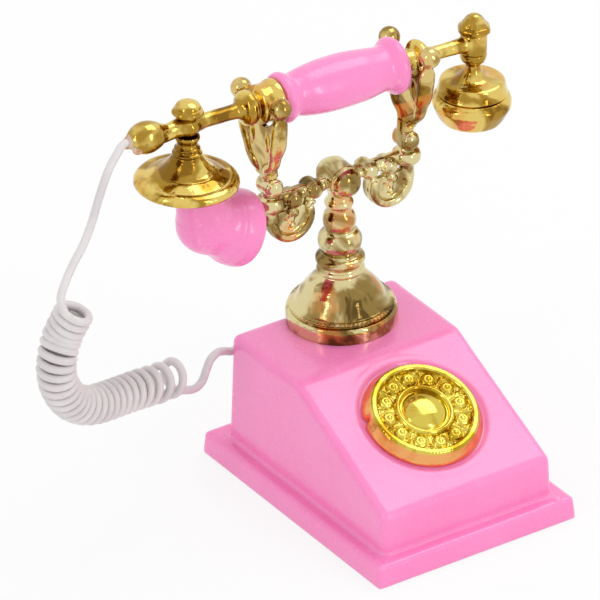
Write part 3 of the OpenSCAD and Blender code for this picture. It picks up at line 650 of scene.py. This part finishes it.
def cradle():
    bm = bmesh.new()
    neck = [(0, 35, 1), (1.75, 35, 1), (1.9, 35.4), (1.8, 35.8), (1.45, 36.2), (1.4, 36.8), (1.65, 37.6),
            (1.6, 39, 1), (0, 39)]
    lathe(bm, profile(neck), 48, AT_STAND)
    tube(bm, [(-POST_X, 0, BAR_Z - 0.15), (POST_X, 0, BAR_Z - 0.15)], 0.85, 20, matrix=AT_STAND)
    barrel(bm, 0, BAR_Z - 0.2, 2.3, HUB)
    for side in (-1, 1):
        barrel(bm, side * 4.2, BAR_Z - 0.26, 1.2, BARREL)
        barrel(bm, side * 7.2, BAR_Z - 0.7, 1.14, BARREL)
        ball(bm, (side * 2.75, 0, 38.9), 0.95, (0.7, 1.2, 0.95), AT_STAND)
        ball(bm, (side * 5.75, 0, 38.85), 0.9, (0.7, 1.1, 0.95), AT_STAND)
    solid(bm, "cradle_crossbar", PALE, "base", ["cradle_bar"], voxel=0.1, soften=5)


def end_post(side, name, nodes):
    """A post at the end of the crossbar, with its barrel and the scroll beneath."""
    bm = bmesh.new()
    at = AT_STAND @ Matrix.Translation((side * POST_X, 0, SCROLL_Z))
    post = [(0, -0.2, 1), (0.95, -0.2), (1.02, 0.2), (1.02, 1.6), (1.35, 1.95), (1.75, 2.25), (1.88, 2.7),
            (1.86, 3.2), (1.7, 3.65), (1.2, 3.95), (0.98, 4.2), (0.98, 4.8), (0.98, 6.7, 1), (0, 6.7)]
    lathe(bm, profile(post, 4), 40, at)
    barrel(bm, side * POST_X, POST_TOP - 1.33, 1.33, BARREL)
    around = [math.radians(a) for a in range(0, 201, 8)]

    def rim(radius):
        return [(side * (SCROLL_X + radius * math.cos(a)), SCROLL_Z - radius * math.sin(a)) for a in around]

    def swept(line, y, size):
        tube(bm, spline([(x, y, z) for x, z in line], 2), size, 14, (0, 1, 0), AT_STAND)

    whole_rim = [(side * 10.0, 38.4), (side * 10.25, 37.2)] + rim(2.7)
    whole_rim += [(side * 4.75, 37.4), (side * 4.7, 38.2)]
    swept(whole_rim, 0, (1.0, 0.7))
    for front in (-1, 1):  # the relief on both faces: rim, curl, and drops and beads inside
        swept(rim(2.78), front * 0.72, 0.55)
        curl = [(side * (4.75 + 0.55 * math.cos(a)), front * 0.95, 36.95 + 0.55 * math.sin(a))
                for a in around[:20]]
        tube(bm, curl, 0.3, 10, (0, 1, 0), AT_STAND)
        ball(bm, (side * 7.5, front * 0.5, 36.9), 0.72, matrix=AT_STAND)
        ball(bm, (side * 7.5, front * 0.45, 35.75), 0.5, (0.9, 0.75, 1.6), AT_STAND)
        ball(bm, (side * 7.45, front * 0.5, 34.75), 0.4, matrix=AT_STAND)
        for x in (6.85, 8.15):
            ball(bm, (side * x, front * 0.4, 36.35), 0.42, (1, 0.8, 1.3), AT_STAND)
    disc = [(2.75 * math.cos(TAU * k / 48), min(2.75 * math.sin(TAU * k / 48), 1.15)) for k in range(48)]
    plate(bm, disc, 0.85, AT_STAND @ Matrix.Translation((side * SCROLL_X, 0, SCROLL_Z)) @ TO_FRONT)
    solid(bm, name, PALE, "base", nodes, voxel=0.1, soften=5)


FRONT_TIP, BACK_TIP = 54.8, 53.6  # heights of the prongs' balls
THICK = 0.82
UPRIGHT = Matrix(((0, 0, 1, 0), (1, 0, 0, 0), (0, 1, 0, 0), (0, 0, 0, 1)))  # stands an outline (y, z) up
WEB = [(-1.2, 43.15), (1.2, 43.15), (2.4, 45.5), (3.65, 48.9), (4.1, 52.2), (3.1, 52.9), (2.95, 52.1),
       (1.9, 51.05), (1.0, 50.72), (-1.0, 50.72), (-1.9, 51.05), (-2.95, 52.1), (-3.1, 52.9), (-4.1, 52.2),
       (-3.65, 48.9), (-2.4, 45.5)]


def fork(side, name, nodes, web_x, lean):
    """A web with two ball-tipped prongs, which lean by so much, and a soft leaf on each side of each half."""
    bm = bmesh.new()
    foot = [(side * POST_X, 0, POST_TOP + 0.02), (side * POST_X, 0, POST_TOP + 1.6)]
    tube(bm, foot, [1.15, 1.05], 24, matrix=AT_STAND)
    stand = AT_STAND @ Matrix.Translation((side * web_x, 0, 0))
    plate(bm, WEB, 0.75, stand @ UPRIGHT)
    for front, tip, wide in ((-1, FRONT_TIP, 1.22), (1, BACK_TIP, 1.0)):
        start = Vector((-side * (web_x - POST_X) * 0.8, front * 0.3, 43.6))
        low = Vector((0, front * 2.4, 45.6))
        knee = Vector((0, front * 3.68, 48.95))
        top = Vector((side * lean, front * 4.6, tip))
        path = [start, low.lerp(Vector((0, 0, 43.4)), 0.45), low]
        path += [low.lerp(knee, 0.4), low.lerp(knee, 0.72), knee]
        path += [knee.lerp(top, 0.3), knee.lerp(top, 0.55), knee.lerp(top, 0.74), top]
        size = [(0.9, 0.85), (0.85, 0.8), (0.85, 0.75), (0.9, 0.75), (wide - 0.03, THICK), (wide, THICK)]
        size += [(wide, THICK), (wide - 0.1, THICK), (0.68, 0.62), (0.85, 0.85)]
        size = [(v[0], v[1]) for v in spline([(a, b, 0) for a, b in size], 5)]
        tube(bm, spline(path, 5), size, 24, (1, 0, 0), stand)
        ball(bm, top, 1.4, matrix=stand)
        for face in (-1, 1):  # leaves
            ball(bm, (face * 0.2, front * 1.7, 48.7), 0.8, (0.6, 0.8, 2.0), stand)
    solid(bm, name, WARM, "base", nodes, voxel=0.1, soften=5)


cradle()
end_post(-1, "scroll_post_left", ["end_post_left"])
end_post(1, "scroll_post_right", ["end_post_right"])
fork(-1, "fork_casting_left", ["fork_left"], web_x=11.2, lean=0.0)
fork(1, "fork_casting_right", ["fork_right"], web_x=10.8, lean=0.35)

# ---------------------------------------------------------------- handset
LEFT_U, RIGHT_U = 22.4, 20.7  # along the handset, from its middle to the eye and to the boss


def uneven(scale, amount):
    """A slow unevenness for a turned piece."""
    def wave(r, z, a):
        return amount * noise.noise(Vector((math.cos(a) * r, math.sin(a) * r, z)) * scale)

    return wave


bm = bmesh.new()
GRIP = [(0, -9.1, 1), (2.75, -9.1, 1), (3.05, -9.0), (3.28, -8.6), (3.3, -8.2), (3.1, -7.7), (2.86, -7.3),
        (2.8, -6.9), (2.88, -6.3), (3.1, -5.2), (3.3, -3.8), (3.45, -2.0), (3.5, 0), (3.45, 2), (3.3, 3.8),
        (3.12, 5.1), (2.97, 6.1), (2.95, 6.6), (3.05, 7.0), (3.35, 7.4), (3.68, 7.9), (3.75, 8.35),
        (3.6, 8.8), (3.25, 9.06), (2.7, 9.1, 1), (0, 9.1)]
lathe(bm, profile(GRIP, 5), 128, ALONG, uneven(0.35, 0.06))
solid(bm, "grip_barrel", PINK, "handset", ["handset_grip"], sharp=50)


def left_arm():
    """Ferrule, collar, rod, eye and cord bulb."""
    bm = bmesh.new()
    cap = [(0, -9.12, 1), (2.55, -9.12, 1), (2.85, -9.35), (2.88, -9.7), (2.8, -10.1), (2.62, -10.6),
           (2.58, -11.4), (2.55, -12.1), (1.9, -12.45), (1.65, -12.6), (1.75, -12.8), (2.15, -13.0),
           (2.32, -13.4), (2.3, -13.9), (2.05, -14.3), (1.5, -14.65), (1.1, -15.1), (0.98, -16),
           (0.98, -18), (1.0, -20), (1.3, -21.4), (1.35, -22.4), (1.25, -23.6), (1.0, -24.9), (1.0, -25.6),
           (1.3, -26.3), (1.7, -27.0), (1.98, -27.8), (2.1, -28.6), (2.02, -29.3), (1.75, -30.0),
           (1.35, -30.6), (0.9, -31.0, 1), (0, -31.0)]
    lathe(bm, profile(cap, 4), 64, SIDEWAYS)
    ball(bm, (-LEFT_U, 0, 0), 1.75, (1, 1, 0.82))
    sag = [(-24.4, 0, -0.35), (-26.5, 0, -0.4), (-28.2, -0.2, -0.7), (-29.3, -0.3, -0.9)]
    tube(bm, sag, [0.9, 1.1, 1.4, 1.1], 20)
    moved(bm, HAND)
    solid(bm, "left_arm_casting", GOLD, "handset", ["left_arm"], voxel=0.11, soften=4)


def right_arm():
    """Ferrule, collar, rod and boss."""
    bm = bmesh.new()
    arm = [(0, 9.12, 1), (2.4, 9.12, 1), (2.62, 9.3), (2.5, 9.6), (1.9, 9.85), (1.46, 10.0), (1.44, 10.6),
           (1.44, 11.2), (1.7, 11.45), (2.2, 11.65), (2.48, 12.0), (2.45, 12.4), (2.1, 12.9), (1.5, 13.4),
           (1.1, 13.9), (0.95, 14.6), (0.95, 17.5), (1.05, 19.0), (1.3, 19.9), (1.35, 20.7, 1), (0, 20.7)]
    lathe(bm, profile(arm, 4), 64, SIDEWAYS)
    boss = [(0, 1.38, 1), (1.5, 1.38), (1.66, 1.2), (1.72, 0.6), (1.72, -0.6), (1.72, -1.2),
            (1.68, -1.38, 1), (0, -1.38)]
    lathe(bm, profile(boss), 48, Matrix.Translation((RIGHT_U, 0, 0)))
    moved(bm, HAND)
    solid(bm, "right_arm_casting", GOLD, "handset", ["right_arm"], voxel=0.11, soften=3)


left_arm()
right_arm()


def turned(name, points, place, node, wave, sides=96, steps=5):
    """A turned gold piece of the handset."""
    bm = bmesh.new()
    lathe(bm, profile(points, steps), sides, place, wave)
    solid(bm, name, GOLD, "handset", [node], sharp=50)


AT_LEFT = HAND @ Matrix.Translation((-LEFT_U, 0, 0))
AT_RIGHT = HAND @ Matrix.Translation((RIGHT_U, 0, 0))


def facets(count, amount, low, high):
    """Flats round a turned piece, between two heights."""
    def wave(r, z, a):
        return amount * math.cos(count * a) * between(low, low + 0.3, z) * (1 - between(high - 0.3, high, z))

    return wave


ACORN = [(0, 1.4, 1), (1.4, 1.4, 1), (1.75, 1.5), (1.98, 1.75), (2.02, 2.05), (1.8, 2.4), (1.65, 2.52),
         (1.62, 2.7), (1.45, 3.0), (1.0, 3.3), (0.5, 3.46), (0, 3.5)]
CONE = [(0, 1.4, 1), (1.6, 1.4, 1), (1.88, 1.48), (2.1, 1.75), (2.12, 2.1), (1.98, 2.35), (1.78, 2.5),
        (1.62, 2.72), (1.3, 3.15), (0.95, 3.6), (0.62, 3.9), (0.3, 4.02), (0, 4.05)]
BELL = [(0, -1.38, 1), (1.5, -1.4, 1), (1.58, -1.6), (1.5, -1.95), (1.32, -2.3), (1.28, -2.6), (1.4, -2.85),
        (1.62, -3.0), (1.66, -3.15), (1.52, -3.3), (1.62, -3.5), (1.9, -3.68), (1.92, -3.85), (1.85, -4.05),
        (2.05, -4.35), (2.35, -4.8), (2.75, -5.35), (3.2, -5.85), (3.6, -6.15), (3.75, -6.32), (4.1, -6.42),
        (4.7, -6.7), (5.2, -7.0), (5.38, -7.1), (5.6, -7.05), (6.0, -7.1), (6.42, -7.3), (6.66, -7.65),
        (6.7, -7.98), (6.6, -8.25), (6.35, -8.42), (6.05, -8.5, 1), (5.6, -8.48), (5.3, -8.2), (5.1, -7.72),
        (4.6, -7.65), (0, -7.6)]
DRUM = [(0, -1.38, 1), (1.6, -1.4, 1), (1.72, -1.55), (1.68, -2.0), (1.5, -2.5), (1.22, -2.78),
        (0.98, -3.0), (0.93, -3.3), (1.02, -3.7), (1.3, -4.2), (1.7, -4.7), (2.1, -4.98), (2.5, -5.08),
        (3.3, -5.14), (3.85, -5.2), (4.12, -5.36), (4.24, -5.7), (4.36, -6.3), (4.52, -6.75), (4.56, -6.95),
        (4.4, -7.15, 1), (0, -7.15)]
CAP = [(0, -7.2, 1), (4.3, -7.2, 1), (4.5, -7.24), (4.72, -7.4), (4.86, -7.55), (4.84, -7.7), (4.98, -7.9),
       (5.09, -8.3), (5.08, -8.7), (4.95, -9.1), (4.8, -9.4), (4.62, -9.75), (4.35, -10.3), (4.05, -10.8),
       (3.85, -10.97), (3.4, -10.97), (3.1, -10.7), (2.8, -10.4), (0, -10.35)]
turned("left_finial_acorn", ACORN, AT_LEFT, "left_finial", facets(7, 0.05, 1.5, 2.5))
turned("right_finial_cone", CONE, AT_RIGHT, "right_finial", facets(6, 0.07, 1.5, 3.9))
turned("transmitter_bell_turned", BELL, AT_LEFT, "transmitter_bell", uneven(0.5, 0.05), sides=144, steps=4)
turned("receiver_drum_turned", DRUM, AT_RIGHT, "receiver_drum", uneven(0.6, 0.04), sides=112)
turned("receiver_ear_cap", CAP, AT_RIGHT, "receiver_cap", uneven(0.6, 0.05), sides=128, steps=4)


def horn():
    """The pink elbow: a turned mouth, and a neck up into the bell."""
    bm = bmesh.new()
    mouth_u, mouth_w, length, dip = -13.85, -17.1, 5.9, math.radians(22)
    place = Matrix.Translation((mouth_u, 0, mouth_w)) @ Matrix.Rotation(math.radians(90) + dip, 4, "Y")
    bell = [(0, -9.8), (1.2, -9.6), (2.3, -9.05), (3.1, -8.3), (3.65, -7.3), (3.9, -6.3), (3.97, -5.3),
            (4.05, -4.5), (4.22, -3.8), (4.45, -3.3), (4.56, -3.12), (4.5, -2.98), (4.7, -2.75),
            (4.86, -2.2), (4.97, -1.5), (5.0, -0.9), (4.96, -0.4), (4.75, 0.0), (4.3, 0.05), (3.95, -0.3),
            (3.5, -0.9), (1.5, -1.3), (0, -1.35)]
    lathe(bm, profile(bell, 5), 96, place)
    back_u, back_w = mouth_u - length * math.cos(dip), mouth_w + length * math.sin(dip)
    neck = [(back_u - 0.05, 0, back_w - 0.2), (-19.6, 0, -13.6), (-20.15, 0, -12.0), (-20.6, 0, -10.5),
            (-20.9, 0, -9.2), (-21.0, 0, -7.0)]
    size = [q[0] for q in spline([(radius, 0, 0) for radius in (3.8, 3.78, 3.3, 2.85, 2.5, 2.4)], 5)]
    tube(bm, spline(neck, 5), size, 40, (0, 1, 0))
    moved(bm, HAND)
    solid(bm, "mouthpiece_horn_moulding", PINK, "handset", ["mouthpiece_horn"],
          voxel=0.12, soften=4)


horn()

# ---------------------------------------------------------------- glue, and the solids that stay
bm = bmesh.new()
ball(bm, (-30.7, 0.05, -0.05), 1.05, (0.75, 1, 1))
ball(bm, (-31.25, 0.1, -0.2), 0.75, (1.1, 1, 1))
ball(bm, (-30.3, -0.9, -0.9), 0.75, (1, 0.9, 0.9))
moved(bm, HAND)
solid(bm, "glue_bead", GLUE, "handset", ["cord_socket_bead"], voxel=0.1, soften=3)
KEPT = {"base_cover": PINK, "dial_retainer": STEEL, "pillar_screw": STEEL, "cord_knot": CORD}
for node, material in KEPT.items():
    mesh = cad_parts[node].data
    mesh.materials.clear()
    mesh.materials.append(material)

# ---------------------------------------------------------------- floor, lights, world
FLOOR_GLOW = 0.82  # how far the floor shows plain white; the rest shows the object's shadow
WORLD_LIGHT = 0.82
FLOOR_HALF = 6  # metres

floor_mesh = bpy.data.meshes.new("floor")
corners = [(x * FLOOR_HALF, y * FLOOR_HALF, 0) for x, y in ((-1, -1), (1, -1), (1, 1), (-1, 1))]
floor_mesh.from_pydata(corners, [], [(0, 1, 2, 3)])
floor = bpy.data.objects.new("floor", floor_mesh)
floor.location.z = -0.00005
bpy.context.scene.collection.objects.link(floor)
paper = bpy.data.materials.new("paper")
paper.use_nodes = True
paper.node_tree.nodes.clear()
sheet = Tree(paper.node_tree)
share = sheet.math("MULTIPLY", sheet.sees_background(), FLOOR_GLOW)
diffuse = sheet.add("ShaderNodeBsdfDiffuse", Color=(0.9, 0.9, 0.9, 1)).outputs[0]
glow = sheet.add("ShaderNodeEmission", Color=(1, 1, 1, 1), Strength=1.0).outputs[0]
mixed = sheet.add("ShaderNodeMixShader", _0=share, _1=diffuse, _2=glow).outputs[0]
sheet.add("ShaderNodeOutputMaterial", Surface=mixed)
floor_mesh.materials.append(paper)


def lamp(name, at, size, power):
    """A rectangular lamp that points at the object."""
    data = bpy.data.lights.new(name, "AREA")
    data.shape = "RECTANGLE"
    data.size, data.size_y = size
    data.energy = power
    thing = bpy.data.objects.new(name, data)
    thing.location = at
    thing.rotation_euler = (Vector((0, 0, 0.025)) - Vector(at)).to_track_quat("-Z", "Y").to_euler()
    bpy.context.scene.collection.objects.link(thing)


lamp("overhead", (0.28, 0.03, 0.53), (0.34, 0.34), 0.8)
lamp("front", (0.17, -0.6, 0.24), (0.09, 0.36), 0.62)
lamp("side", (-0.55, -0.1, 0.3), (0.09, 0.36), 0.4)

world = bpy.data.worlds.new("studio")
bpy.context.scene.world = world
world.use_nodes = True
world.node_tree.nodes.clear()
sky = Tree(world.node_tree)
light = sky.add("ShaderNodeBackground", Color=(1, 1, 1, 1), Strength=WORLD_LIGHT).outputs[0]
white = sky.add("ShaderNodeBackground", Color=(1, 1, 1, 1), Strength=1.0).outputs[0]
mixed = sky.add("ShaderNodeMixShader", _0=sky.sees_background(), _1=light, _2=white).outputs[0]
sky.add("ShaderNodeOutputWorld", Surface=mixed)
bpy.context.scene.view_settings.view_transform = "Standard"
